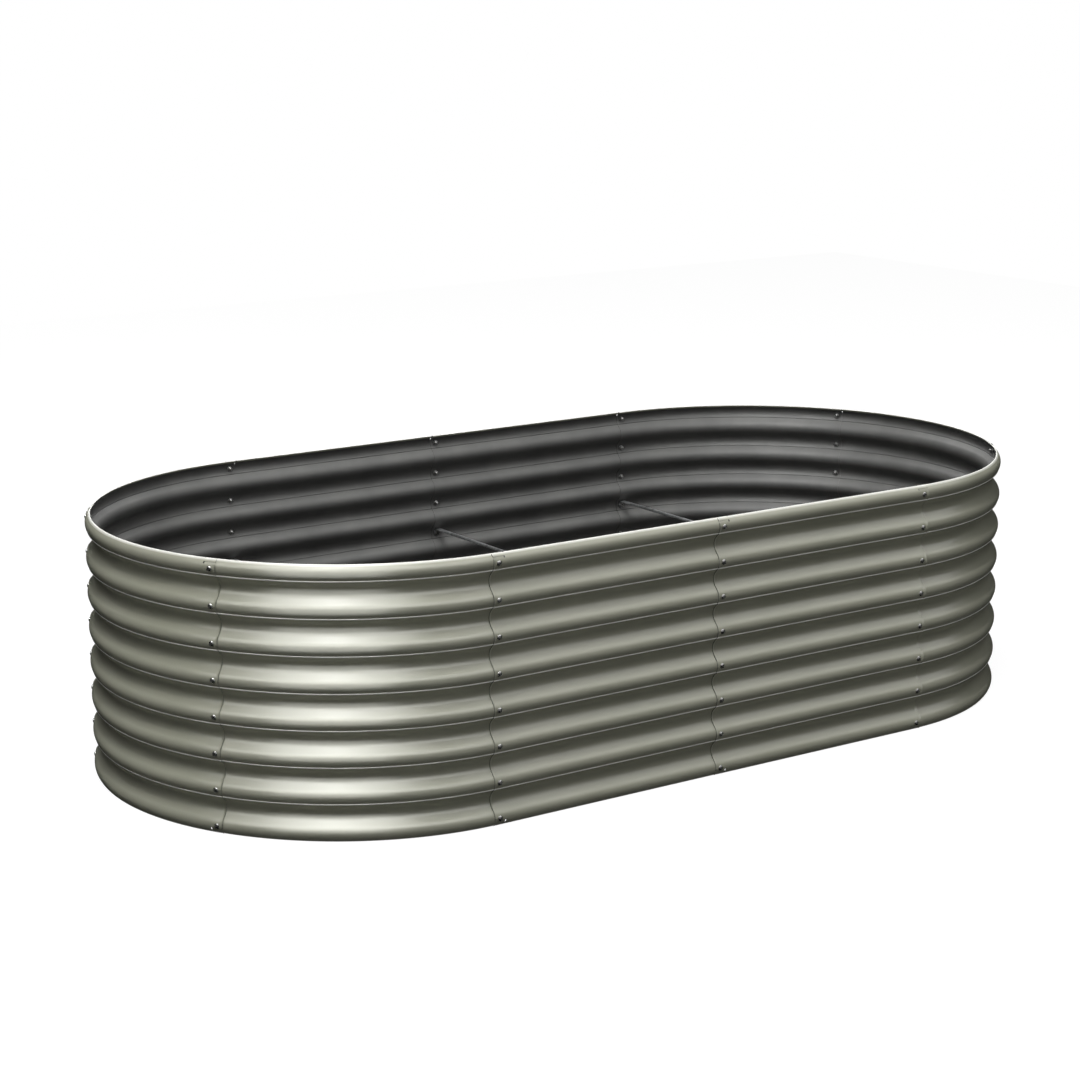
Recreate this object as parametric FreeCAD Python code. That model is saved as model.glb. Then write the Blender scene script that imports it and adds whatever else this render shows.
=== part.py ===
"""Oval raised garden bed: a bottomless ring of corrugated steel panels, bolted together.

The plan is a stadium: two flat sides joined by two half-circle ends. Each side is two flat panels
and each end is three curved panels of 60 degrees. Neighbouring panels lap over each other, and a
column of screws, one on the crest of every rib, holds each lap. Three tie rods cross the bed.

Millimetres, +Z up, +X along the bed. The origin is at the middle of the bed, on the ground.
"""
import FreeCAD, Part

import math
import os
from FreeCAD import Vector

# ---- Plan and height ------------------------------------------------------------------------
BED_LENGTH = 2400.0         # over the crests of the two ends
BED_WIDTH = 1200.0          # over the crests of the two sides
BED_HEIGHT = 597.0
CURVED_PANELS_PER_END = 3
FLAT_PANELS_PER_SIDE = 2

# ---- Corrugated sheet -----------------------------------------------------------------------
SHEET = 0.8                 # thickness of the coated steel
RIBS = 8                    # crests in the wall's height
RIB_PITCH = 80.0            # from one crest to the next
FIRST_CREST = 16.5          # height of the lowest crest above the ground
RIB_DEPTH = 20.0            # from crest to valley, on the middle of the sheet
FLANK_ANGLE = 42.0          # slope of the straight flank between crest and valley, from vertical
HEM_GAP = 1.2               # space inside the folded edge
HEM_LEAF = 5.0              # length of the folded-back strip
HEM_FLAT = 0.3              # how much of the lower hem's round is pressed flat by the ground

# ---- Laps and screws ------------------------------------------------------------------------
LAP_HALF = 14.0             # each sheet runs this far past the line of screws
HEM_NOTCH = 2.0             # the outer sheet's hem stops this far short of the inner sheet's edge
HOLE_RADIUS = 3.5
SCREW_RADIUS = 3.0          # M6
SCREW_LENGTH = 12.0
HEAD_RADIUS = 6.0
HEAD_HEIGHT = 3.6
HEAD_RIM = 0.9              # height of the straight rim under the dome
HEAD_GAP = 0.05             # clears the slight skew of a flat panel
RECESS_ARM = 2.9            # the cross in the head: reach, width and depth of each arm
RECESS_WIDTH = 1.5
RECESS_DEPTH = 2.2
WASHER_RADIUS = 6.0
WASHER_BORE = 3.2
WASHER_THICKNESS = 1.6
NUT_ACROSS_FLATS = 10.0
NUT_THICKNESS = 5.0
NUT_BORE = 3.05

# ---- Tie rods -------------------------------------------------------------------------------
ROD_RADIUS = 4.0
ROD_RIB = 4                 # the ties hang on the screws of this rib, counted from the ground
TAB_WIDTH = 16.0            # the rod's end is pressed flat and turned down
TAB_THICKNESS = 3.0
TAB_BEND = 6.0              # outer radius of the turn
TAB_RISE = 6.3              # the turn starts this far above the screw
TAB_FLAT = 26.0             # level flat strip between the turn and the taper
TAPER = 24.0                # from the flat strip to the round rod

# ---- Worked out from the above --------------------------------------------------------------
END_RADIUS = BED_WIDTH / 2
STRAIGHT = BED_LENGTH - BED_WIDTH
FLAT_PANEL = STRAIGHT / FLAT_PANELS_PER_SIDE
CURVED_ANGLE = 180.0 / CURVED_PANELS_PER_END
SLOPE = math.radians(FLANK_ANGLE)
SIN, COS = math.sin(SLOPE), math.cos(SLOPE)

# A quarter wave is an arc and half a flank: its height and depth give the arc's radius.
HALF_FLANK = (RIB_DEPTH / 2 - RIB_PITCH / 4 * (1 - COS) / SIN) / (SIN - COS * (1 - COS) / SIN)
RIB_RADIUS = (RIB_PITCH / 4 - HALF_FLANK * COS) / SIN

# Two like sheets nest when one is moved outwards until their flanks touch.
LAP_STEP = SHEET / COS
OUTER_WALL = END_RADIUS - RIB_DEPTH / 2 - SHEET / 2
INNER_WALL = OUTER_WALL - LAP_STEP
LAP_TURN = math.degrees(LAP_HALF / END_RADIUS)
NOTCH_TURN = math.degrees((LAP_HALF + HEM_NOTCH) / END_RADIUS)

HEM_RADIUS = HEM_GAP / 2 + SHEET
FOLD_RADIUS = (HEM_GAP + SHEET) / 2
UP = Vector(0, 0, 1)


def sheet_point(across, height, wall):
    """A point of the wall's section: across is outwards from the middle of the corrugation."""
    return Vector(wall + across, 0, height)


def rib_crest(index):
    """Height of the crest of a rib, counted from the ground."""
    return FIRST_CREST + index * RIB_PITCH


def arc_edge(start, middle, end):
    return Part.Arc(start, middle, end).toShape()


def line_edge(start, end):
    return Part.LineSegment(start, end).toShape()


class SectionLine:
    """One face of the sheet in section, at a set distance outwards from the sheet's middle."""

    def __init__(self, wall, offset):
        self.wall = wall
        self.offset = offset

    def bend(self, index):
        """Start, middle and end of the arc at a crest (even index) or a valley (odd index)."""
        height = rib_crest(index / 2)
        side = 1 if index % 2 == 0 else -1
        radius = RIB_RADIUS + side * self.offset
        centre = side * (RIB_DEPTH / 2 - RIB_RADIUS)
        ends = []
        for turn in (-SLOPE, 0.0, SLOPE):
            across = centre + side * radius * math.cos(turn)
            ends.append(sheet_point(across, height + radius * math.sin(turn), self.wall))
        return ends

    def edges(self, first, last):
        """Edges from the lower point first, along every bend and flank, to the upper point last."""
        result = []
        here = first
        for index in range(2 * RIBS - 1):
            start, middle, end = self.bend(index)
            result.append(line_edge(here, start))
            result.append(arc_edge(start, middle, end))
            here = end
        result.append(line_edge(here, last))
        return result


def fold_start(top, wall):
    """Middle of the sheet where a hem's fold starts, on the top or the bottom edge."""
    if top:
        height = BED_HEIGHT + FOLD_RADIUS * SIN - HEM_RADIUS
        flank_middle = rib_crest(RIBS - 1) + RIB_PITCH / 4
        return sheet_point((flank_middle - height) * SIN / COS, height, wall)
    height = HEM_RADIUS - FOLD_RADIUS * SIN - HEM_FLAT
    flank_middle = rib_crest(0) - RIB_PITCH / 4
    return sheet_point((height - flank_middle) * SIN / COS, height, wall)


def edge_directions(top):
    """Directions at an edge in section: off the end of the sheet, and out through its face."""
    sign = 1 if top else -1
    return Vector(-SIN, 0, sign * COS), Vector(COS, 0, sign * SIN)


def sheet_section(wall):
    """The corrugated sheet's section, cut square at both edges."""
    half = SHEET / 2
    low = fold_start(False, wall)
    high = fold_start(True, wall)
    low_out = edge_directions(False)[1] * half
    high_out = edge_directions(True)[1] * half
    outer = SectionLine(wall, half).edges(low + low_out, high + high_out)
    inner = SectionLine(wall, -half).edges(low - low_out, high - high_out)
    inner.reverse()
    cap_top = line_edge(high + high_out, high - high_out)
    cap_bottom = line_edge(low - low_out, low + low_out)
    return Part.Face(Part.Wire(outer + [cap_top] + inner + [cap_bottom]))


def hem_section(top, wall):
    """The hem's section: half a turn inwards from the sheet's edge, and a leaf along its face."""
    start = fold_start(top, wall)
    ahead, out = edge_directions(top)
    centre = start - out * FOLD_RADIUS
    bore = HEM_GAP / 2
    leaf = ahead * -HEM_LEAF
    corners = [
        start + out * (SHEET / 2),
        centre - out * HEM_RADIUS,
        centre - out * HEM_RADIUS + leaf,
        centre - out * bore + leaf,
        centre - out * bore,
        start - out * (SHEET / 2),
    ]
    return Part.Face(Part.Wire([
        arc_edge(corners[0], centre + ahead * HEM_RADIUS, corners[1]),
        line_edge(corners[1], corners[2]),
        line_edge(corners[2], corners[3]),
        line_edge(corners[3], corners[4]),
        arc_edge(corners[4], centre + ahead * bore, corners[5]),
        line_edge(corners[5], corners[0]),
    ]))


def press_flat(panel):
    """Cut the lower hem's round flat at the ground, where the bed stands on it."""
    depth = 2 * HEM_RADIUS
    ground = Part.makeBox(2 * BED_LENGTH, 2 * BED_WIDTH, depth,
                          Vector(-BED_LENGTH, -BED_WIDTH, -depth))
    return panel.cut(ground)


def drill(panel, seams):
    """Drill the screw holes of the given seams through a panel."""
    for seam in seams:
        for index in range(RIBS):
            start = seam.on_axis(END_RADIUS - 2 * RIB_DEPTH, index)
            drilled = Part.makeCylinder(HOLE_RADIUS, 3 * RIB_DEPTH, start, seam.outward)
            panel = panel.cut(drilled)
    return panel


def curved_panel(first, last, wall, outside):
    """A panel round part of an end, from seam first to seam last, counter-clockwise.

    outside says that the panel lies over its neighbours, so that its hem has to clear them.
    """
    start = first.angle
    sweep = (last.angle - first.angle) % 360.0
    hem_turn = -NOTCH_TURN if outside else LAP_TURN
    panel = None
    for section, turn in (
        (sheet_section(wall), LAP_TURN),
        (hem_section(True, wall), hem_turn),
        (hem_section(False, wall), hem_turn),
    ):
        section.rotate(Vector(), UP, start - turn)
        piece = section.revolve(Vector(), UP, sweep + 2 * turn)
        panel = piece if panel is None else panel.fuse(piece)
    panel.translate(first.centre)
    return drill(press_flat(panel), (first, last))


def flat_panel(first, last, first_over, last_over):
    """A panel along a side, from seam first to seam last, counter-clockwise.

    first_over and last_over say whether it lies over its neighbour at each end. Where only one
    is true the panel stands slightly askew, by the lap's step over its length.
    """
    hem_start = LAP_HALF + HEM_NOTCH if first_over else -LAP_HALF
    hem_end = LAP_HALF + HEM_NOTCH if last_over else -LAP_HALF
    wall = OUTER_WALL if last_over else INNER_WALL
    panel = None
    for section, begin, end in (
        (sheet_section(wall), -LAP_HALF, FLAT_PANEL + LAP_HALF),
        (hem_section(True, wall), hem_start, FLAT_PANEL - hem_end),
        (hem_section(False, wall), hem_start, FLAT_PANEL - hem_end),
    ):
        section.translate(Vector(0, begin, 0))
        piece = section.extrude(Vector(0, end - begin, 0))
        panel = piece if panel is None else panel.fuse(piece)
    if first_over != last_over:
        skew = math.degrees(math.atan2(LAP_STEP, FLAT_PANEL - 2 * LAP_HALF))
        pivot = Vector(wall, FLAT_PANEL - LAP_HALF, 0)
        panel.rotate(pivot, UP, skew)
    panel.rotate(Vector(), UP, first.angle)
    panel.translate(first.centre)
    return drill(press_flat(panel), (first, last))


class Seam:
    """A line where two panels lap: its place round the bed and the way its screws point."""

    def __init__(self, name, centre, angle):
        self.name = name
        self.centre = centre
        self.angle = angle
        self.outward = Vector(math.cos(math.radians(angle)), math.sin(math.radians(angle)), 0)

    def on_axis(self, radius, index):
        """A point on the axis of one of the seam's screws."""
        return self.centre + self.outward * radius + UP * rib_crest(index)

    def place(self, shape, radius, index):
        """Put a shape that is made along +Z at the origin on a screw's axis, +Z outwards."""
        turn = FreeCAD.Rotation(UP, self.outward)
        shape.Placement = FreeCAD.Placement(self.on_axis(radius, index), turn)
        return shape


def make_seams():
    """The seams, counter-clockwise from the front left corner."""
    seams = []
    half = STRAIGHT / 2
    left, right = Vector(-half, 0, 0), Vector(half, 0, 0)
    seams.append(Seam("front_left", left, 270.0))
    seams.append(Seam("front_centre", Vector(), 270.0))
    seams.append(Seam("front_right", right, 270.0))
    seams.append(Seam("right_front", right, 270.0 + CURVED_ANGLE))
    seams.append(Seam("right_back", right, 270.0 + 2 * CURVED_ANGLE))
    seams.append(Seam("back_right", right, 90.0))
    seams.append(Seam("back_centre", Vector(), 90.0))
    seams.append(Seam("back_left", left, 90.0))
    seams.append(Seam("left_back", left, 90.0 + CURVED_ANGLE))
    seams.append(Seam("left_front", left, 90.0 + 2 * CURVED_ANGLE))
    return {seam.name: seam for seam in seams}


def make_panels(seams):
    """Every panel by node name. The corner panels lie under both of their neighbours."""
    panels = {}
    for name, first, last, outside in (
        ("panel_front_left_curve", "left_front", "front_left", False),
        ("panel_front_right_curve", "front_right", "right_front", False),
        ("panel_right_end_curve", "right_front", "right_back", True),
        ("panel_back_right_curve", "right_back", "back_right", False),
        ("panel_back_left_curve", "back_left", "left_back", False),
        ("panel_left_end_curve", "left_back", "left_front", True),
    ):
        wall = OUTER_WALL if outside else INNER_WALL
        panels[name] = curved_panel(seams[first], seams[last], wall, outside)
    for name, first, last, last_over in (
        ("panel_front_left_flat", "front_left", "front_centre", False),
        ("panel_front_right_flat", "front_centre", "front_right", True),
        ("panel_back_right_flat", "back_right", "back_centre", False),
        ("panel_back_left_flat", "back_centre", "back_left", True),
    ):
        panels[name] = flat_panel(seams[first], seams[last], True, last_over)
    return panels


def make_screw(turn):
    """A domed screw along +Z, seat at the origin, with its cross recess turned by an angle."""
    rise = HEAD_HEIGHT - HEAD_RIM
    dome = (HEAD_RADIUS ** 2 + rise ** 2) / (2 * rise)
    part_way = HEAD_RADIUS / 2
    shoulder = HEAD_HEIGHT - dome + math.sqrt(dome ** 2 - part_way ** 2)
    foot = Vector(0, 0, -SCREW_LENGTH)
    chamfer = 0.6
    rim = Vector(HEAD_RADIUS, 0, HEAD_RIM)
    top = Vector(0, 0, HEAD_HEIGHT)
    section = Part.Wire([
        line_edge(foot, Vector(SCREW_RADIUS - chamfer, 0, -SCREW_LENGTH)),
        line_edge(Vector(SCREW_RADIUS - chamfer, 0, -SCREW_LENGTH),
                  Vector(SCREW_RADIUS, 0, chamfer - SCREW_LENGTH)),
        line_edge(Vector(SCREW_RADIUS, 0, chamfer - SCREW_LENGTH), Vector(SCREW_RADIUS, 0, 0)),
        line_edge(Vector(SCREW_RADIUS, 0, 0), Vector(HEAD_RADIUS, 0, 0)),
        line_edge(Vector(HEAD_RADIUS, 0, 0), rim),
        arc_edge(rim, Vector(part_way, 0, shoulder), top),
        line_edge(top, foot),
    ])
    screw = Part.Face(section).revolve(Vector(), UP, 360)
    for arm in (0.0, 90.0):
        slot = Part.makeBox(2 * RECESS_ARM, RECESS_WIDTH, RECESS_DEPTH,
                            Vector(-RECESS_ARM, -RECESS_WIDTH / 2, HEAD_HEIGHT - RECESS_DEPTH))
        slot.rotate(Vector(), UP, turn + arm)
        screw = screw.cut(slot)
    return screw


def make_washer():
    """A plain washer: its upper face is at the origin."""
    low = Vector(0, 0, -WASHER_THICKNESS)
    disc = Part.makeCylinder(WASHER_RADIUS, WASHER_THICKNESS, low)
    return disc.cut(Part.makeCylinder(WASHER_BORE, WASHER_THICKNESS, low))


def make_nut():
    """A hexagon nut with its corners chamfered: its upper face is at the origin."""
    corner = NUT_ACROSS_FLATS / 2 / math.cos(math.pi / 6)
    low = Vector(0, 0, -NUT_THICKNESS)
    points = []
    for side in range(7):
        turn = math.radians(60 * side)
        points.append(Vector(corner * math.cos(turn), corner * math.sin(turn), -NUT_THICKNESS))
    prism = Part.Face(Part.makePolygon(points)).extrude(UP * NUT_THICKNESS)
    reach = corner - NUT_ACROSS_FLATS / 2
    cone = Part.makeCone(corner - reach, corner - reach + NUT_THICKNESS, NUT_THICKNESS, low)
    nut = prism.common(cone)
    return nut.cut(Part.makeCylinder(NUT_BORE, NUT_THICKNESS, low))


def hollow_depth(reach):
    """How far the inside of a crest has curved inwards at a height of reach from its middle."""
    radius = RIB_RADIUS - SHEET / 2
    return radius - math.sqrt(radius ** 2 - reach ** 2)


INSIDE_CREST = INNER_WALL + RIB_DEPTH / 2 - SHEET / 2
WASHER_SEAT = INSIDE_CREST - hollow_depth(WASHER_RADIUS) - HEAD_GAP
TAB_SEAT = INSIDE_CREST - hollow_depth(TAB_WIDTH / 2) - HEAD_GAP
TIED_SEAMS = ("front_left", "front_centre", "front_right",
              "back_left", "back_centre", "back_right")
RECESS_STEP = 37.0          # each screw stopped turning at its own angle


def make_fasteners(seam, order):
    """The screws, washers and nuts of a seam, each kind as one group of separate solids."""
    screws, washers, nuts = [], [], []
    for index in range(RIBS):
        tied = seam.name in TIED_SEAMS and index == ROD_RIB
        washer_seat = TAB_SEAT - TAB_THICKNESS if tied else WASHER_SEAT
        turn = RECESS_STEP * (order * RIBS + index)
        screws.append(seam.place(make_screw(turn), END_RADIUS + HEAD_GAP, index))
        washers.append(seam.place(make_washer(), washer_seat, index))
        nuts.append(seam.place(make_nut(), washer_seat - WASHER_THICKNESS, index))
    return {
        "screws_" + seam.name: Part.makeCompound(screws),
        "washers_" + seam.name: Part.makeCompound(washers),
        "nuts_" + seam.name: Part.makeCompound(nuts),
    }


def rounded_section(half_width, half_height, corner, along):
    """A closed section of four lines and four corner arcs, square to Y, round the rod's axis."""
    edges = []
    corners = []
    for side, over in ((1, 1), (-1, 1), (-1, -1), (1, -1)):
        corners.append((side * (half_width - corner), over * (half_height - corner)))
    for number, (across, height) in enumerate(corners):
        points = []
        for step in range(3):
            turn = math.radians(90 * number + 45 * step)
            points.append(Vector(across + corner * math.cos(turn), along,
                                 height + corner * math.sin(turn)))
        following = corners[(number + 1) % 4]
        turn = math.radians(90 * number + 90)
        start = Vector(following[0] + corner * math.cos(turn), along,
                       following[1] + corner * math.sin(turn))
        edges.append(arc_edge(*points))
        edges.append(line_edge(points[2], start))
    return Part.Wire(edges)


def make_tie_end():
    """One end of a tie rod, about its axis along +Y: taper, flat strip, turn and eye.

    The outer face of the eye is at y = 0, and the rest of the rod is at y < 0.
    """
    thick = TAB_THICKNESS
    strip_start = -TAB_BEND - TAB_FLAT
    round_corner = ROD_RADIUS * 0.9
    taper = Part.makeLoft([
        rounded_section(ROD_RADIUS, ROD_RADIUS, round_corner, strip_start - TAPER),
        rounded_section(TAB_WIDTH / 2, thick / 2, thick / 2 * 0.9, strip_start),
    ], True, True)
    strip = Part.makeBox(TAB_WIDTH, TAB_FLAT, thick,
                         Vector(-TAB_WIDTH / 2, strip_start, -thick / 2))
    inner = TAB_BEND - thick
    centre = Vector(-TAB_WIDTH / 2, -TAB_BEND, thick / 2 - TAB_BEND)
    ring = Part.makeCylinder(TAB_BEND, TAB_WIDTH, centre, Vector(1, 0, 0))
    ring = ring.cut(Part.makeCylinder(inner, TAB_WIDTH, centre, Vector(1, 0, 0)))
    quarter = Part.makeBox(TAB_WIDTH, TAB_BEND, TAB_BEND, centre)
    turn = ring.common(quarter)
    eye_height = centre.z - TAB_RISE
    plate = Part.makeBox(TAB_WIDTH, thick, TAB_RISE, Vector(-TAB_WIDTH / 2, -thick, eye_height))
    eye = Part.makeCylinder(TAB_WIDTH / 2, thick, Vector(0, -thick, eye_height), Vector(0, 1, 0))
    end = taper.fuse([strip, turn, plate, eye])
    bore = Part.makeCylinder(WASHER_BORE, thick, Vector(0, -thick, eye_height), Vector(0, 1, 0))
    return end.cut(bore)


def make_tie(front):
    """A tie rod from the front seam to the one straight behind it."""
    rod_height = rib_crest(ROD_RIB) + TAB_RISE + TAB_BEND - TAB_THICKNESS / 2
    round_half = TAB_SEAT - TAB_BEND - TAB_FLAT - TAPER
    back_end = make_tie_end()
    back_end.translate(Vector(0, TAB_SEAT, 0))
    front_end = back_end.copy()
    front_end.rotate(Vector(), UP, 180)
    shaft = Part.makeCylinder(ROD_RADIUS, 2 * round_half, Vector(0, -round_half, 0),
                              Vector(0, 1, 0))
    tie = shaft.fuse([back_end, front_end])
    tie.translate(Vector(front.centre.x, 0, rod_height))
    return tie


def main():
    seams = make_seams()
    nodes = make_panels(seams)
    for order, seam in enumerate(seams.values()):
        nodes.update(make_fasteners(seam, order))
    nodes["tie_rod_left"] = make_tie(seams["front_left"])
    nodes["tie_rod_centre"] = make_tie(seams["front_centre"])
    nodes["tie_rod_right"] = make_tie(seams["front_right"])
    os.makedirs("parts", exist_ok=True)
    for name, shape in nodes.items():
        shape.exportStep("parts/" + name + ".step")
        print(name, len(shape.Solids), "solids, valid", shape.isValid(), round(shape.Volume))


main()
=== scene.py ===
"""Looks of an oval raised garden bed of corrugated, powder-coated steel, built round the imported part.

Metres, +Z up, +X along the bed. The origin is at the middle of the bed, on the ground. Every panel is
drawn as one section line, spun or extruded along the wall and thickened, so it keeps the real sheet's
folds, laps and edges. The screws, washers, nuts and tie rods are the frame's own, dressed here.
"""

import logging
import math
from collections.abc import Callable
from dataclasses import dataclass, field
from enum import Enum

import bpy
from mathutils import Matrix, Vector


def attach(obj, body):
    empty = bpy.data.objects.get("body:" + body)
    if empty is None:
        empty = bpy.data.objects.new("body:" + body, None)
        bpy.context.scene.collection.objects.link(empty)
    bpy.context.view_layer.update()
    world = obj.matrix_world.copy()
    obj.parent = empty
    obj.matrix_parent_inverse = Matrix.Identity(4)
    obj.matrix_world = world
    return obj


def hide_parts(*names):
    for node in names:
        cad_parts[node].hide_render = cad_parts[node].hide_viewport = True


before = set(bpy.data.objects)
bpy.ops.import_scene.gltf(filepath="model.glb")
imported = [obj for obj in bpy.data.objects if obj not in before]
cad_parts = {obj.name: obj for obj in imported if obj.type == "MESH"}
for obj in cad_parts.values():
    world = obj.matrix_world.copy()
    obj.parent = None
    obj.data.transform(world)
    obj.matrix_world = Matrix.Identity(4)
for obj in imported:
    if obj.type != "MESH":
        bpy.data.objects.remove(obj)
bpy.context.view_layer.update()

LOG = logging.getLogger("bed")
BODY = "root"
UP = Vector((0.0, 0.0, 1.0))
SECTION_AXIS = (0.0, 1.0, 0.0)
# Name of the mark on the beads and the hems' folds where the coat is painted pale, as a painted
# highlight line.
HIGHLIGHT_MARK = "highlight_line"
TOLERANCE = 1e-5
Colour = tuple[float, float, float]


class Fit(Enum):
    """Whether a panel lies over its neighbour at a seam, or under it."""

    OVER = "over"
    UNDER = "under"


def deselect_all() -> None:
    """Leave object mode with nothing selected."""
    if bpy.context.object and bpy.context.object.mode != "OBJECT":
        bpy.ops.object.mode_set(mode="OBJECT")
    bpy.ops.object.select_all(action="DESELECT")


def make_active(obj: bpy.types.Object) -> None:
    """Select one object alone and make it the active one."""
    deselect_all()
    obj.select_set(True)
    bpy.context.view_layer.objects.active = obj


def apply_place(obj: bpy.types.Object) -> None:
    """Put an object's place, turn and scale into its mesh."""
    make_active(obj)
    bpy.ops.object.transform_apply(location=True, rotation=True, scale=True)


def select_points(obj: bpy.types.Object, chosen: Callable[[Vector], bool]) -> None:
    """Select an object's points alone by their place, ready for edit mode.

    Args:
        obj: the object, which becomes the active one.
        chosen: says whether the point at a place is selected.
    """
    make_active(obj)
    bpy.ops.object.mode_set(mode="EDIT")
    bpy.ops.mesh.select_mode(type="VERT")
    bpy.ops.mesh.select_all(action="DESELECT")
    bpy.ops.object.mode_set(mode="OBJECT")
    for vertex in obj.data.vertices:
        vertex.select = chosen(vertex.co)
    bpy.ops.object.mode_set(mode="EDIT")


@dataclass(frozen=True)
class SheetProfile:
    """The corrugated sheet in section: crests, valleys, rolled beads and folded edges."""

    pitch: float = 0.080
    depth: float = 0.020
    flank_angle: float = math.radians(42.0)
    ribs: int = 8
    first_crest: float = 0.0165
    height: float = 0.597
    thickness: float = 0.0008
    hem_gap: float = 0.0012
    hem_leaf: float = 0.005
    bead_half_width: float = 0.0012
    bead_height: float = 0.0014

    @property
    def rib_radius(self) -> float:
        """Radius of the arc at a crest or a valley."""
        sine, cosine = math.sin(self.flank_angle), math.cos(self.flank_angle)
        lean = (1 - cosine) / sine
        half_flank = (self.depth / 2 - self.pitch / 4 * lean) / (sine - cosine * lean)
        return (self.pitch / 4 - half_flank * cosine) / sine

    @property
    def fold_radius(self) -> float:
        """Radius of a hem's fold at the middle of the sheet."""
        return (self.hem_gap + self.thickness) / 2

    @property
    def lap_step(self) -> float:
        """How far apart two nested sheets stand."""
        return self.thickness / math.cos(self.flank_angle)

    @property
    def low_flank(self) -> float:
        """Height of the middle of the flank below the lowest crest, where the lower hem starts."""
        return self.crest(-0.25)

    @property
    def high_flank(self) -> float:
        """Height of the middle of the flank above the highest crest, where the upper hem starts."""
        return self.crest(self.ribs - 0.75)

    def crest(self, index: float) -> float:
        """Height of a crest above the ground, or of a valley for an index and a half."""
        return self.first_crest + index * self.pitch


class SectionPen:
    """Draws a chain of edges in the XZ plane by extruding and spinning one vertex."""

    SEED_SIZE = 0.001

    def __init__(self, name: str, start: Vector) -> None:
        """Put the pen down.

        Args:
            name: name of the new object.
            start: first point of the line.
        """
        deselect_all()
        bpy.ops.mesh.primitive_plane_add(size=self.SEED_SIZE, location=start)
        self.obj = bpy.context.object
        self.obj.name = name
        bpy.ops.object.transform_apply(location=True)
        bpy.ops.object.mode_set(mode="EDIT")
        bpy.ops.mesh.select_mode(type="VERT")
        bpy.ops.mesh.select_all(action="SELECT")
        bpy.ops.mesh.merge(type="CENTER")
        self.at = Vector(start)

    def line_to(self, end: Vector) -> None:
        """Draw a straight edge to a point."""
        bpy.ops.mesh.extrude_region_move(TRANSFORM_OT_translate={"value": end - self.at})
        self.at = Vector(end)

    def arc(self, centre: Vector, angle: float, steps: int) -> None:
        """Draw an arc round a centre.

        Args:
            centre: middle of the arc.
            angle: turn in radians, positive from +X towards +Z.
            steps: number of edges.
        """
        bpy.ops.mesh.spin(steps=steps, angle=angle, center=centre, axis=SECTION_AXIS)
        turn = Matrix.Rotation(-angle, 3, "Y")
        self.at = centre + turn @ (self.at - centre)

    def bulge(self, end: Vector, height: float, steps: int) -> None:
        """Draw an arc that stands out of the wall between here and a point.

        Args:
            end: where the arc ends.
            height: how far its middle stands off the straight line to the end.
            steps: number of edges.
        """
        run = end - self.at
        half = run.length / 2
        radius = (half * half + height * height) / (2 * height)
        out = Vector((run.z, 0.0, -run.x)).normalized()
        self.arc((self.at + end) / 2 + out * (height - radius), 4 * math.atan(height / half), steps)

    def finish(self) -> bpy.types.Object:
        """Leave edit mode and give the drawn line."""
        bpy.ops.object.mode_set(mode="OBJECT")
        return self.obj


def polar(centre: Vector, radius: float, angle: float) -> Vector:
    """A point of the XZ plane at an angle from +X towards +Z."""
    return centre + Vector((radius * math.cos(angle), 0.0, radius * math.sin(angle)))


@dataclass
class SheetSection:
    """Draws the middle line of the sheet, hems included, with the wall's middle at x = 0."""

    profile: SheetProfile
    hem_steps: int = 8
    crest_steps: int = 14
    bead_steps: int = 9
    valley_steps: int = 12

    def draw(self, name: str) -> bpy.types.Object:
        """Draw the whole section from the inner leaf of the lower hem to that of the upper one."""
        profile = self.profile
        slope = profile.flank_angle
        fold = profile.fold_radius
        outer = fold + profile.thickness / 2
        tangent = math.tan(slope)
        low_z = outer - fold * math.sin(slope)
        low = Vector(((low_z - profile.low_flank) * tangent, 0.0, low_z))
        high_z = profile.height - low_z
        high = Vector(((profile.high_flank - high_z) * tangent, 0.0, high_z))
        low_centre = polar(low, fold, math.pi - slope)
        leaf_start = polar(low_centre, fold, math.pi - slope)
        leaf_end = polar(leaf_start, profile.hem_leaf, math.pi / 2 - slope)
        pen = SectionPen(name, leaf_end)
        pen.line_to(leaf_start)
        pen.arc(low_centre, math.pi, self.hem_steps)
        for index in range(profile.ribs):
            self._crest(pen, index)
            if index < profile.ribs - 1:
                self._valley(pen, index)
        pen.line_to(high)
        high_centre = polar(high, fold, math.pi + slope)
        pen.arc(high_centre, math.pi, self.hem_steps)
        pen.line_to(polar(pen.at, profile.hem_leaf, slope - math.pi / 2))
        return pen.finish()

    def _crest(self, pen: SectionPen, index: int) -> None:
        """Draw a flank and the crest above it, with a bead where they meet.

        The lowest crest has no bead. The flank has a point a bead's width below it, so that the bead's
        painted highlight ends there.

        Args:
            pen: the pen that draws the section.
            index: which crest, counted from the ground.
        """
        profile = self.profile
        radius = profile.rib_radius
        slope = profile.flank_angle
        centre = Vector((profile.depth / 2 - radius, 0.0, profile.crest(index)))
        toe = polar(centre, radius, -slope)
        if index == 0:
            pen.line_to(toe)
            pen.arc(centre, 2 * slope, self.crest_steps)
            return
        width = 2 * profile.bead_half_width
        turn = width / radius
        along = Vector((math.sin(slope), 0.0, math.cos(slope)))
        pen.line_to(toe - along * width)
        pen.line_to(toe)
        pen.bulge(polar(centre, radius, turn - slope), profile.bead_height, self.bead_steps)
        pen.arc(centre, 2 * slope - turn, self.crest_steps)

    def _valley(self, pen: SectionPen, index: int) -> None:
        """Draw a flank and the valley above a crest."""
        profile = self.profile
        radius = profile.rib_radius
        slope = profile.flank_angle
        centre = Vector((radius - profile.depth / 2, 0.0, profile.crest(index + 0.5)))
        pen.line_to(polar(centre, radius, math.pi + slope))
        pen.arc(centre, -2 * slope, self.valley_steps)


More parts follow.
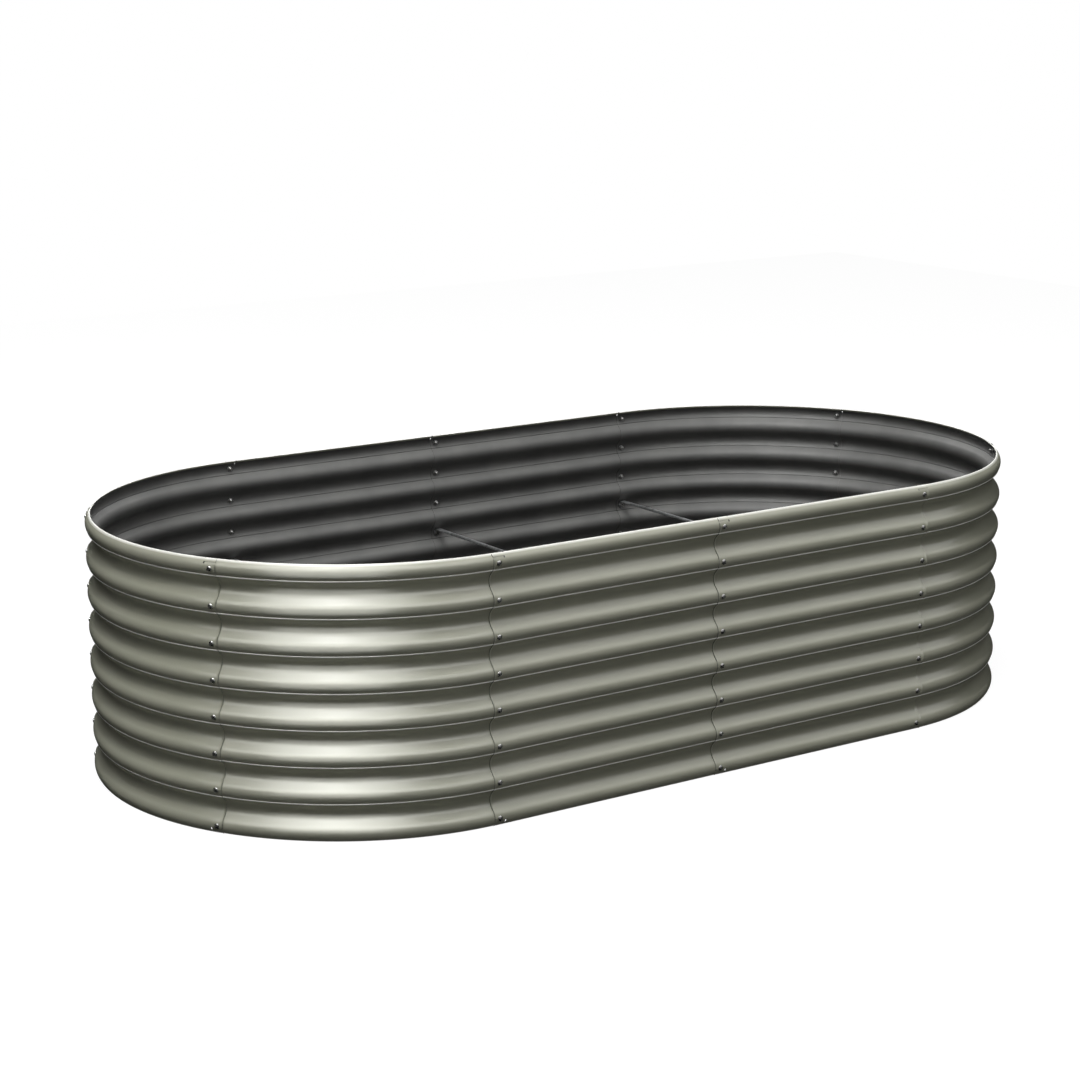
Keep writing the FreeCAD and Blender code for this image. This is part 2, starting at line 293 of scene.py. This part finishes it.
@dataclass(frozen=True)
class Seam:
    """A line where two panels lap: where it is and which way its screws point."""

    name: str
    centre: Vector
    angle: float

    @property
    def placement(self) -> Matrix:
        """Turns a piece drawn outwards along +X to this seam."""
        return Matrix.Translation(self.centre) @ Matrix.Rotation(self.angle, 4, "Z")


@dataclass(frozen=True)
class BedPlan:
    """The bed in plan: two straight sides and two half-circle ends."""

    profile: SheetProfile
    length: float = 2.400
    width: float = 1.200
    curved_panels: int = 3
    lap_half: float = 0.014
    hem_notch: float = 0.002
    edge_lift: float = 0.0016

    @property
    def end_radius(self) -> float:
        """Radius of an end over its crests."""
        return self.width / 2

    @property
    def straight(self) -> float:
        """Length of a straight side."""
        return self.length - self.width

    @property
    def flat_panel(self) -> float:
        """Length of a flat panel between its two seams."""
        return self.straight / 2

    @property
    def outer_wall(self) -> float:
        """Middle of the corrugation of a panel that lies over its neighbours, from the centre."""
        return self.end_radius - self.profile.depth / 2 - self.profile.thickness / 2

    @property
    def inner_wall(self) -> float:
        """Middle of the corrugation of a panel that lies under its neighbours."""
        return self.outer_wall - self.profile.lap_step

    def seams(self) -> dict[str, Seam]:
        """The seams by name, counter-clockwise from the front left corner."""
        half = Vector((self.straight / 2, 0.0, 0.0))
        step = 180.0 / self.curved_panels
        places = (
            ("front_left", -half, 270.0), ("front_centre", Vector(), 270.0),
            ("front_right", half, 270.0), ("right_front", half, 270.0 + step),
            ("right_back", half, 270.0 + 2 * step), ("back_right", half, 90.0),
            ("back_centre", Vector(), 90.0), ("back_left", -half, 90.0),
            ("left_back", -half, 90.0 + step), ("left_front", -half, 90.0 + 2 * step),
        )
        return {name: Seam(name, centre, math.radians(angle)) for name, centre, angle in places}


@dataclass
class Panel:
    """One corrugated sheet from seam to seam, counter-clockwise round the bed."""

    name: str
    plan: BedPlan
    first: Seam
    last: Seam
    first_fit: Fit
    last_fit: Fit
    lap_steps: int = 4
    # How far about the beads and the hems' folds the coat is painted pale, as a painted highlight line.
    bead_highlight_reach: float = 1.5
    fold_highlight_reach: float = 1.2
    sharp_angle: float = math.radians(50.0)

    def build(
        self, section: bpy.types.Object, coat: bpy.types.Material, back: bpy.types.Material
    ) -> bpy.types.Object:
        """Model the panel from the section line.

        Args:
            section: the drawn section, which is copied.
            coat: the finish of its outer face.
            back: the finish of its inner face and of its cut edges.

        Returns:
            The finished panel, riding on the bed.
        """
        panel = section.copy()
        panel.data = section.data.copy()
        panel.name = "sheet_" + self.name
        bpy.context.scene.collection.objects.link(panel)
        panel.location.x = self.wall
        apply_place(panel)
        self.run(panel)
        self.notch_hems(panel)
        self.lift_edges(panel)
        self.mark_painted_highlight(panel)
        panel.data.materials.append(coat)
        panel.data.materials.append(back)
        self.thicken(panel)
        panel.matrix_world = self.first.placement @ self.skew()
        apply_place(panel)
        bpy.ops.object.shade_smooth_by_angle(angle=self.sharp_angle)
        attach(panel, BODY)
        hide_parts("panel_" + self.name)
        return panel

    @property
    def wall(self) -> float:
        """How far out the panel's corrugation stands where it is drawn."""
        over = self.last_fit is Fit.OVER
        return self.plan.outer_wall if over else self.plan.inner_wall

    def skew(self) -> Matrix:
        """The small turn of a panel that lies over one neighbour and under the other."""
        return Matrix.Identity(4)

    def run(self, panel: bpy.types.Object) -> None:
        """Carry the section along the wall."""
        raise NotImplementedError

    def end_reach(self, co: Vector) -> tuple[float, float]:
        """How far a point is past the first and past the last seam, along the wall."""
        raise NotImplementedError

    def outward(self, co: Vector) -> Vector:
        """Direction out through the wall at a point, as drawn."""
        raise NotImplementedError

    def across(self, co: Vector) -> float:
        """Distance of a point outwards from the middle of the corrugation."""
        raise NotImplementedError

    def notch_hems(self, panel: bpy.types.Object) -> None:
        """Cut the hems back where the panel lies over its neighbour, so that they clear it."""
        profile = self.plan.profile
        ends = ((0, self.first_fit), (1, self.last_fit))
        over = [end for end, fit in ends if fit is Fit.OVER]
        if not over:
            return
        keep = self.plan.lap_half + self.plan.hem_notch
        middle = profile.height / 2
        slope = profile.flank_angle
        fold = profile.fold_radius

        def in_notch(co: Vector) -> bool:
            """Whether a point belongs to a hem near a lap."""
            rise = middle - abs(co.z - middle)
            low = co.z < middle
            flank = profile.low_flank if low else profile.height - profile.high_flank
            inside = ((rise - flank) * math.tan(slope) - self.across(co)) * math.cos(slope)
            reach = self.end_reach(co)
            in_hem = rise < 2 * profile.hem_leaf and inside > fold / 4
            return in_hem and any(reach[end] > TOLERANCE - keep for end in over)

        select_points(panel, in_notch)
        bpy.ops.mesh.delete(type="VERT")
        bpy.ops.object.mode_set(mode="OBJECT")

    def lift_edges(self, panel: bpy.types.Object) -> None:
        """Spring the panel's cut edges slightly off the neighbours they lie over."""
        for end, fit in enumerate((self.first_fit, self.last_fit)):
            if fit is not Fit.OVER:
                continue
            limit = self.plan.lap_half - TOLERANCE
            edge = [v.co.copy() for v in panel.data.vertices if self.end_reach(v.co)[end] > limit]
            select_points(panel, lambda co, end=end: self.end_reach(co)[end] > limit)
            bpy.ops.transform.translate(value=self.outward(edge[0]) * self.plan.edge_lift)
            bpy.ops.object.mode_set(mode="OBJECT")

    def mark_painted_highlight(self, panel: bpy.types.Object) -> None:
        """Mark where the coat is painted pale as a painted highlight line: along the beads and over the
        hems' folds.
        """
        profile = self.plan.profile
        toe = profile.rib_radius * math.sin(profile.flank_angle)
        highlight_line = panel.data.attributes.new(HIGHLIGHT_MARK, "FLOAT", "POINT")
        for vertex, mark in zip(panel.data.vertices, highlight_line.data):
            rise = (vertex.co.z - profile.crest(-0.5)) % profile.pitch - profile.pitch / 2
            bead_top = self.bead_highlight_reach * profile.bead_half_width
            on_bead = -profile.bead_height < rise + toe < bead_top
            to_edge = min(vertex.co.z, profile.height - vertex.co.z)
            on_fold = to_edge < self.fold_highlight_reach * profile.fold_radius
            mark.value = 1.0 if on_bead or on_fold else 0.0

    def thicken(self, panel: bpy.types.Object) -> None:
        """Give the sheet its thickness, with its outer face turned out of the bed."""
        make_active(panel)
        bpy.ops.object.mode_set(mode="EDIT")
        bpy.ops.mesh.select_all(action="SELECT")
        bpy.ops.mesh.normals_make_consistent(inside=False)
        bpy.ops.object.mode_set(mode="OBJECT")
        crest = max(panel.data.polygons, key=lambda face: self.across(face.center))
        if crest.normal.dot(self.outward(crest.center)) < 0:
            bpy.ops.object.mode_set(mode="EDIT")
            bpy.ops.mesh.flip_normals()
            bpy.ops.object.mode_set(mode="OBJECT")
        solid = panel.modifiers.new("thickness", "SOLIDIFY")
        solid.thickness = self.plan.profile.thickness
        solid.offset = 0.0
        solid.use_even_offset = True
        solid.material_offset = 1
        solid.material_offset_rim = 1
        bpy.ops.object.modifier_apply(modifier=solid.name)


@dataclass
class CurvedPanel(Panel):
    """A panel round a third of an end."""

    main_steps: int = 60

    def run(self, panel: bpy.types.Object) -> None:
        """Spin the section round the end's centre, in short steps at the laps."""
        plan = self.plan
        lap_turn = plan.lap_half / plan.end_radius
        notch_turn = plan.hem_notch / plan.end_radius
        sweep = math.pi / plan.curved_panels
        panel.rotation_euler.z = -lap_turn
        apply_place(panel)
        bpy.ops.object.mode_set(mode="EDIT")
        bpy.ops.mesh.select_all(action="SELECT")
        for turn, steps in (
            (lap_turn, self.lap_steps), (lap_turn, self.lap_steps), (notch_turn, 1),
            (sweep - 2 * lap_turn - 2 * notch_turn, self.main_steps),
            (notch_turn, 1), (lap_turn, self.lap_steps), (lap_turn, self.lap_steps),
        ):
            bpy.ops.mesh.spin(steps=steps, angle=-turn, center=(0, 0, 0), axis=UP)
        bpy.ops.object.mode_set(mode="OBJECT")

    def end_reach(self, co: Vector) -> tuple[float, float]:
        """How far a point is past the first and past the last seam, along the wall."""
        radius = self.plan.end_radius
        angle = math.atan2(co.y, co.x)
        return -angle * radius, (angle - math.pi / self.plan.curved_panels) * radius

    def outward(self, co: Vector) -> Vector:
        """Direction out through the wall at a point, as drawn."""
        return Vector((co.x, co.y, 0.0)).normalized()

    def across(self, co: Vector) -> float:
        """Distance of a point outwards from the middle of the corrugation."""
        return math.hypot(co.x, co.y) - self.wall


@dataclass
class FlatPanel(Panel):
    """A panel along half of a side."""

    main_steps: int = 8

    def skew(self) -> Matrix:
        """The small turn of a panel that lies over one neighbour and under the other."""
        if self.first_fit is self.last_fit:
            return Matrix.Identity(4)
        plan = self.plan
        run = plan.flat_panel - 2 * plan.lap_half
        turn = math.atan2(plan.profile.lap_step, run)
        pivot = Vector((self.wall, plan.flat_panel - plan.lap_half, 0.0))
        return Matrix.Translation(pivot) @ Matrix.Rotation(turn, 4, "Z") @ Matrix.Translation(-pivot)

    def run(self, panel: bpy.types.Object) -> None:
        """Extrude the section along the side, in short steps at the laps."""
        plan = self.plan
        panel.location.y = -plan.lap_half
        apply_place(panel)
        bpy.ops.object.mode_set(mode="EDIT")
        bpy.ops.mesh.select_all(action="SELECT")
        middle = plan.flat_panel - 2 * plan.lap_half - 2 * plan.hem_notch
        for length, steps in (
            (2 * plan.lap_half, 2 * self.lap_steps), (plan.hem_notch, 1),
            (middle, self.main_steps),
            (plan.hem_notch, 1), (2 * plan.lap_half, 2 * self.lap_steps),
        ):
            for _ in range(steps):
                step = Vector((0.0, length / steps, 0.0))
                bpy.ops.mesh.extrude_region_move(TRANSFORM_OT_translate={"value": step})
        bpy.ops.object.mode_set(mode="OBJECT")

    def end_reach(self, co: Vector) -> tuple[float, float]:
        """How far a point is past the first and past the last seam, along the wall."""
        return -co.y, co.y - self.plan.flat_panel

    def outward(self, co: Vector) -> Vector:
        """Direction out through the wall at a point, as drawn."""
        return Vector((1.0, 0.0, 0.0))

    def across(self, co: Vector) -> float:
        """Distance of a point outwards from the middle of the corrugation."""
        return co.x - self.wall


@dataclass(frozen=True)
class Spots:
    """A pattern of soft spots: spots per metre, octaves, and the values that it runs between."""

    scale: float
    detail: float
    low: float = 0.0
    high: float = 1.0
    cut: float = 0.3


@dataclass(frozen=True)
class Grain:
    """Fine bumps of a surface: bumps per metre, octaves and height in metres."""

    scale: float
    detail: float
    height: float


class Shader:
    """A small helper that adds nodes to a material and joins them."""

    def __init__(self, name: str) -> None:
        """Start a material with one principled surface."""
        self.material = bpy.data.materials.new(name)
        self.material.use_nodes = True
        self.tree = self.material.node_tree
        self.surface = self.tree.nodes["Principled BSDF"]
        self.position = self.tree.nodes.new("ShaderNodeTexCoord").outputs["Object"]

    def set(self, **values: object) -> None:
        """Write plain values on the surface's own sockets, with _ for a space in their names."""
        for name, value in values.items():
            self.surface.inputs[name.replace("_", " ")].default_value = value

    def noise(self, scale: float, detail: float) -> bpy.types.NodeSocket:
        """A noise pattern fixed to the piece.

        Args:
            scale: spots per metre.
            detail: octaves.

        Returns:
            The noise's value, from 0 to 1.
        """
        noise = self.tree.nodes.new("ShaderNodeTexNoise")
        noise.inputs["Scale"].default_value = scale
        noise.inputs["Detail"].default_value = detail
        self.tree.links.new(self.position, noise.inputs["Vector"])
        return noise.outputs["Fac"]

    def mark(self, name: str) -> bpy.types.NodeSocket:
        """A value marked on the piece's own points."""
        node = self.tree.nodes.new("ShaderNodeAttribute")
        node.attribute_name = name
        return node.outputs["Fac"]

    def scale(self, value: bpy.types.NodeSocket, factor: float) -> bpy.types.NodeSocket:
        """A pattern times a number."""
        node = self.tree.nodes.new("ShaderNodeMath")
        node.operation = "MULTIPLY"
        node.inputs[1].default_value = factor
        self.tree.links.new(value, node.inputs[0])
        return node.outputs["Value"]

    def add(self, first: bpy.types.NodeSocket, second: bpy.types.NodeSocket) -> bpy.types.NodeSocket:
        """One pattern plus another."""
        node = self.tree.nodes.new("ShaderNodeMath")
        node.operation = "ADD"
        self.tree.links.new(first, node.inputs[0])
        self.tree.links.new(second, node.inputs[1])
        return node.outputs["Value"]

    def spots(self, pattern: Spots) -> bpy.types.NodeSocket:
        """Soft spots, fixed to the piece, whose value runs from low to high."""
        node = self.tree.nodes.new("ShaderNodeMapRange")
        node.interpolation_type = "SMOOTHSTEP"
        node.inputs["From Min"].default_value = pattern.cut
        node.inputs["From Max"].default_value = 1.0 - pattern.cut
        node.inputs["To Min"].default_value = pattern.low
        node.inputs["To Max"].default_value = pattern.high
        self.tree.links.new(self.noise(pattern.scale, pattern.detail), node.inputs["Value"])
        return node.outputs["Result"]

    def blend(
        self, value: bpy.types.NodeSocket, first: Colour | bpy.types.NodeSocket, second: Colour
    ) -> bpy.types.NodeSocket:
        """Mix two colours by a pattern.

        Args:
            value: the pattern, 0 for the first colour and 1 for the second.
            first: a colour, or the output of an earlier mix.
            second: a colour.

        Returns:
            The mixed colour.
        """
        node = self.tree.nodes.new("ShaderNodeMix")
        node.data_type = "RGBA"
        factor, lower, upper = node.inputs[0], node.inputs[6], node.inputs[7]
        if isinstance(first, tuple):
            lower.default_value = (*first, 1.0)
        else:
            self.tree.links.new(first, lower)
        upper.default_value = (*second, 1.0)
        self.tree.links.new(value, factor)
        return node.outputs[2]

    def bump(self, height: bpy.types.NodeSocket, distance: float) -> None:
        """Roughen the surface by a pattern of heights."""
        node = self.tree.nodes.new("ShaderNodeBump")
        node.inputs["Distance"].default_value = distance
        node.inputs["Strength"].default_value = 1.0
        self.tree.links.new(height, node.inputs["Height"])
        self.join(node.outputs["Normal"], "Normal")

    def join(self, socket: bpy.types.NodeSocket, name: str) -> None:
        """Feed a socket into the surface."""
        self.tree.links.new(socket, self.surface.inputs[name])


@dataclass(frozen=True)
class Finish:
    """A finish of two close tones in soft spots, with an uneven gloss and a fine grain.

    The panel coat's roughness stays under 0.273: past it, the denoiser shows the spots as patches.
    """

    name: str
    light: Colour
    dark: Colour
    tone: Spots
    roughness: Spots
    grain: Grain | None = None
    metallic: float = 0.0
    specular: float = 0.5

    def material(self) -> bpy.types.Material:
        """Build the finish."""
        shader = Shader(self.name)
        shader.set(Metallic=self.metallic, Specular_IOR_Level=self.specular)
        shader.join(self.colour_of(shader), "Base Color")
        shader.join(self.roughness_of(shader), "Roughness")
        if self.grain:
            shader.bump(shader.noise(self.grain.scale, self.grain.detail), self.grain.height)
        return shader.material

    def colour_of(self, shader: Shader) -> bpy.types.NodeSocket:
        """The colour, as an output of the material's nodes."""
        return shader.blend(shader.spots(self.tone), self.dark, self.light)

    def roughness_of(self, shader: Shader) -> bpy.types.NodeSocket:
        """The roughness, as an output of the material's nodes."""
        return shader.spots(self.roughness)


@dataclass(frozen=True)
class HighlightedCoat(Finish):
    """A coat that is painted pale where the piece is marked, as a painted highlight, and made duller
    there.
    """

    # The pale colour of the painted highlight line along the beads and the hems' folds.
    highlight_colour: Colour = (0.72, 0.72, 0.68)
    paling: float = 0.85
    dulling: float = 0.25

    def colour_of(self, shader: Shader) -> bpy.types.NodeSocket:
        """The coat's colour, blended into the pale colour of the painted highlight."""
        paling = shader.scale(shader.mark(HIGHLIGHT_MARK), self.paling)
        return shader.blend(paling, super().colour_of(shader), self.highlight_colour)

    def roughness_of(self, shader: Shader) -> bpy.types.NodeSocket:
        """The coat's roughness, raised where the painted highlight is marked."""
        dulling = shader.scale(shader.mark(HIGHLIGHT_MARK), self.dulling)
        return shader.add(super().roughness_of(shader), dulling)


# The panel coat, with its beads and hems' folds painted pale as a painted highlight line.
POWDER_COAT = HighlightedCoat(
    "panel_coat", (0.299, 0.300, 0.240), (0.283, 0.286, 0.226),
    Spots(6.0, 3.0), Spots(12.0, 1.0, 0.250, 0.270), Grain(420.0, 1.0, 0.000002), specular=0.25,
)
BACK_COAT = Finish(
    "back_coat", (0.105, 0.105, 0.100), (0.085, 0.085, 0.082),
    Spots(9.0, 3.0), Spots(25.0, 2.0, 0.50, 0.58), Grain(500.0, 1.0, 0.000005), specular=0.15,
)
BRIGHT_STEEL = Finish(
    "screw_steel", (0.58, 0.58, 0.57), (0.50, 0.50, 0.49),
    Spots(300.0, 3.0), Spots(500.0, 2.0, 0.22, 0.32), metallic=1.0,
)
DULL_STEEL = Finish(
    "tie_steel", (0.52, 0.53, 0.53), (0.36, 0.37, 0.38),
    Spots(120.0, 4.0), Spots(90.0, 3.0, 0.32, 0.50), Grain(600.0, 2.0, 0.00005), metallic=1.0,
)


@dataclass
class Wall:
    """The ring of ten corrugated panels."""

    plan: BedPlan
    coat: bpy.types.Material
    back: bpy.types.Material
    coated: bpy.types.Collection

    def panels(self) -> list[Panel]:
        """Every panel, with how it lies over or under its neighbours."""
        seams = self.plan.seams()
        found: list[Panel] = []
        for name, first, last, fit in (
            ("front_left_curve", "left_front", "front_left", Fit.UNDER),
            ("front_right_curve", "front_right", "right_front", Fit.UNDER),
            ("right_end_curve", "right_front", "right_back", Fit.OVER),
            ("back_right_curve", "right_back", "back_right", Fit.UNDER),
            ("back_left_curve", "back_left", "left_back", Fit.UNDER),
            ("left_end_curve", "left_back", "left_front", Fit.OVER),
        ):
            found.append(CurvedPanel(name, self.plan, seams[first], seams[last], fit, fit))
        for name, first, last, fit in (
            ("front_left_flat", "front_left", "front_centre", Fit.UNDER),
            ("front_right_flat", "front_centre", "front_right", Fit.OVER),
            ("back_right_flat", "back_right", "back_centre", Fit.UNDER),
            ("back_left_flat", "back_centre", "back_left", Fit.OVER),
        ):
            found.append(FlatPanel(name, self.plan, seams[first], seams[last], Fit.OVER, fit))
        return found

    def build(self) -> None:
        """Model every panel from one drawn section."""
        section = SheetSection(self.plan.profile).draw("section")
        for panel in self.panels():
            piece = panel.build(section, self.coat, self.back)
            self.coated.objects.link(piece)
            LOG.info("%s: %d faces", piece.name, len(piece.data.polygons))
        bpy.data.objects.remove(section)


@dataclass
class Fittings:
    """The frame's own screws, washers, nuts and tie rods, dressed with their finishes."""

    bright: bpy.types.Material
    dull: bpy.types.Material

    def dress(self) -> None:
        """Give every carried-over node its finish."""
        for name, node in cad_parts.items():
            if name.startswith(("screws_", "washers_", "nuts_")):
                self._paint(node, self.bright)
            elif name.startswith("tie_rod_"):
                self._paint(node, self.dull)

    def _paint(self, node: bpy.types.Object, finish: bpy.types.Material) -> None:
        """Put one finish on a node."""
        for slot in node.material_slots:
            slot.material = finish
        LOG.info("%s: %s", node.name, finish.name)


def direction(azimuth: float, elevation: float) -> Vector:
    """A unit vector from the bed towards a place in the studio, angles in degrees."""
    turn, rise = math.radians(azimuth), math.radians(elevation)
    return Vector((math.cos(turn) * math.cos(rise), math.sin(turn) * math.cos(rise), math.sin(rise)))


class Reach(Enum):
    """What a studio light does: light the bed and show in its gloss, or show in its gloss alone."""

    ALL = "all"
    GLOSS = "gloss"


@dataclass(frozen=True)
class Softbox:
    """A rectangular studio light that faces the bed, given by the part of the sky that it covers."""

    name: str
    azimuths: tuple[float, float]
    elevations: tuple[float, float]
    brightness: float
    distance: float
    reach: Reach = Reach.ALL
    target: Vector = field(default_factory=lambda: Vector((0.0, 0.0, 0.3)))

    def place(self, coated: bpy.types.Collection) -> None:
        """Add the light to the studio.

        Args:
            coated: the coated panels, the only pieces whose gloss shows a light of gloss alone.
        """
        azimuth = sum(self.azimuths) / 2
        elevation = sum(self.elevations) / 2
        half_turn = math.radians(self.azimuths[1] - azimuth)
        half_rise = math.radians(self.elevations[1] - elevation)
        data = bpy.data.lights.new(self.name, "AREA")
        data.shape = "RECTANGLE"
        data.size = 2 * self.distance * math.cos(math.radians(elevation)) * math.tan(half_turn)
        data.size_y = 2 * self.distance * math.tan(half_rise)
        data.energy = self.brightness * data.size * data.size_y * math.pi
        light = bpy.data.objects.new(self.name, data)
        bpy.context.scene.collection.objects.link(light)
        away = direction(azimuth, elevation)
        light.location = self.target + away * self.distance
        light.rotation_euler = away.to_track_quat("Z", "Y").to_euler()
        if self.reach is Reach.GLOSS:
            light.visible_diffuse = False
            light.light_linking.receiver_collection = coated


@dataclass(frozen=True)
class Studio:
    """A plain pale floor, a white surround, black flags round the bed and soft lights."""

    floor_size: float = 14.0
    floor_cells: int = 4
    floor_colour: Colour = (0.10, 0.10, 0.10)
    floor_glow: float = 0.95
    fill: float = 0.03
    flag_radius: float = 14.0
    flag_height: float = 14.0
    flag_sides: int = 48
    mat_height: float = 0.002
    left_end: Vector = field(default_factory=lambda: Vector((-0.6, 0.0, 0.3)))
    coated: bpy.types.Collection = field(default_factory=lambda: bpy.data.collections.new("coated"))

    def lights(self) -> tuple[Softbox, ...]:
        """The studio's lights."""
        return (
            Softbox("overhead", (180.0, 252.0), (60.0, 90.0), 17.4, 9.0),
            Softbox("overhead_apron", (180.0, 252.0), (48.0, 60.0), 5.8, 9.0),
            Softbox("panel_high", (190.0, 270.0), (48.0, 72.0), 14.0, 6.0, Reach.GLOSS, self.left_end),
            Softbox("panel_low", (190.0, 270.0), (30.0, 48.0), 7.5, 6.0, Reach.GLOSS, self.left_end),
            Softbox("strip", (221.0, 232.0), (33.0, 72.0), 16.0, 5.0, Reach.GLOSS, self.left_end),
            Softbox("card", (211.0, 251.0), (-4.0, 30.0), 9.0, 1.35, Reach.GLOSS, self.left_end),
            Softbox("card_low", (211.0, 251.0), (-14.0, -4.0), 7.0, 1.35, Reach.GLOSS, self.left_end),
            Softbox("wide_left", (170.0, 235.0), (20.0, 48.0), 6.5, 9.0, Reach.GLOSS),
            Softbox("wide_right", (235.0, 300.0), (20.0, 48.0), 6.5, 9.0, Reach.GLOSS),
            Softbox("front_low", (225.0, 300.0), (2.0, 25.0), 0.38, 9.0),
            Softbox("right_high", (290.0, 350.0), (25.0, 60.0), 0.8, 9.0),
            Softbox("right_side", (300.0, 350.0), (20.0, 60.0), 2.8, 9.0, Reach.GLOSS),
            Softbox("rim_right", (15.0, 65.0), (28.0, 58.0), 12.0, 9.0, Reach.GLOSS),
            Softbox("rim_left", (65.0, 115.0), (28.0, 58.0), 12.0, 9.0, Reach.GLOSS),
        )

    def build(self) -> None:
        """Add the floor, the surround, the flags and the lights."""
        self._floor()
        self._surround()
        self._flags()
        for box in self.lights():
            box.place(self.coated)

    def _flags(self) -> None:
        """Stand black cloth round the studio and lay some by the bed, where only its gloss shows it."""
        material = bpy.data.materials.new("black_cloth")
        material.use_nodes = True
        cloth = material.node_tree.nodes["Principled BSDF"]
        cloth.inputs["Base Color"].default_value = (0.0, 0.0, 0.0, 1.0)
        cloth.inputs["Specular IOR Level"].default_value = 0.0
        deselect_all()
        bpy.ops.mesh.primitive_cylinder_add(
            vertices=self.flag_sides, radius=self.flag_radius, depth=self.flag_height,
            end_fill_type="NOTHING", location=(0.0, 0.0, self.flag_height / 2),
        )
        curtain = bpy.context.object
        curtain.name = "curtain"
        deselect_all()
        bpy.ops.mesh.primitive_circle_add(
            vertices=self.flag_sides, radius=self.flag_radius, fill_type="NGON",
            location=(0.0, 0.0, self.mat_height),
        )
        mat = bpy.context.object
        mat.name = "mat"
        for flag in (curtain, mat):
            flag.data.materials.append(material)
            flag.visible_camera = False
            flag.visible_diffuse = False
            flag.visible_transmission = False
            flag.visible_shadow = False

    def _seen(self, tree: bpy.types.NodeTree) -> bpy.types.NodeSocket:
        """Is 1 for rays from the camera, a reflection or a transmission."""
        path = tree.nodes.new("ShaderNodeLightPath")
        total = path.outputs["Is Camera Ray"]
        for name in ("Is Glossy Ray", "Is Transmission Ray"):
            either = tree.nodes.new("ShaderNodeMath")
            either.operation = "MAXIMUM"
            tree.links.new(total, either.inputs[0])
            tree.links.new(path.outputs[name], either.inputs[1])
            total = either.outputs["Value"]
        return total

    def _floor(self) -> None:
        """Add the floor: white where it is seen, with the bed's faint shadow."""
        deselect_all()
        cells = self.floor_cells
        bpy.ops.mesh.primitive_grid_add(x_subdivisions=cells, y_subdivisions=cells, size=self.floor_size)
        floor = bpy.context.object
        floor.name = "floor"
        material = bpy.data.materials.new("floor")
        material.use_nodes = True
        tree = material.node_tree
        tree.nodes.remove(tree.nodes["Principled BSDF"])
        matt = tree.nodes.new("ShaderNodeBsdfDiffuse")
        matt.inputs["Color"].default_value = (*self.floor_colour, 1.0)
        glow = tree.nodes.new("ShaderNodeEmission")
        strength = tree.nodes.new("ShaderNodeMath")
        strength.operation = "MULTIPLY"
        strength.inputs[1].default_value = self.floor_glow
        tree.links.new(self._seen(tree), strength.inputs[0])
        tree.links.new(strength.outputs["Value"], glow.inputs["Strength"])
        both = tree.nodes.new("ShaderNodeAddShader")
        tree.links.new(matt.outputs["BSDF"], both.inputs[0])
        tree.links.new(glow.outputs["Emission"], both.inputs[1])
        tree.links.new(both.outputs["Shader"], tree.nodes["Material Output"].inputs["Surface"])
        floor.data.materials.append(material)

    def _surround(self) -> None:
        """Add the surround: white where it is seen, and a weak fill light."""
        world = bpy.data.worlds.new("surround")
        bpy.context.scene.world = world
        world.use_nodes = True
        tree = world.node_tree
        background = tree.nodes["Background"]
        background.inputs["Color"].default_value = (1.0, 1.0, 1.0, 1.0)
        strength = tree.nodes.new("ShaderNodeMapRange")
        strength.inputs["To Min"].default_value = self.fill
        strength.inputs["To Max"].default_value = 1.0
        tree.links.new(self._seen(tree), strength.inputs["Value"])
        tree.links.new(strength.outputs["Result"], background.inputs["Strength"])


@dataclass(frozen=True)
class Viewpoint:
    """The photograph's viewing angle."""

    place: Vector = field(default_factory=lambda: Vector((-3.420, -4.825, 1.813)))
    target: Vector = field(default_factory=lambda: Vector((-0.082, 0.0, 0.442)))
    lens: float = 83.7
    sensor: float = 36.0

    def build(self) -> None:
        """Add the camera."""
        data = bpy.data.cameras.new("camera")
        data.sensor_fit = "HORIZONTAL"
        data.sensor_width = self.sensor
        data.lens = self.lens
        camera = bpy.data.objects.new("camera", data)
        bpy.context.scene.collection.objects.link(camera)
        camera.location = self.place
        camera.rotation_euler = (self.place - self.target).to_track_quat("Z", "Y").to_euler()
        bpy.context.scene.camera = camera


def main() -> None:
    """Build the studio and dress the bed."""
    logging.basicConfig(level=logging.INFO, format="%(name)s %(message)s")
    bpy.context.scene.view_settings.view_transform = "Standard"
    Viewpoint().build()
    studio = Studio()
    studio.build()
    plan = BedPlan(SheetProfile())
    Wall(plan, POWDER_COAT.material(), BACK_COAT.material(), studio.coated).build()
    Fittings(BRIGHT_STEEL.material(), DULL_STEEL.material()).dress()


if __name__ == "__main__":
    main()
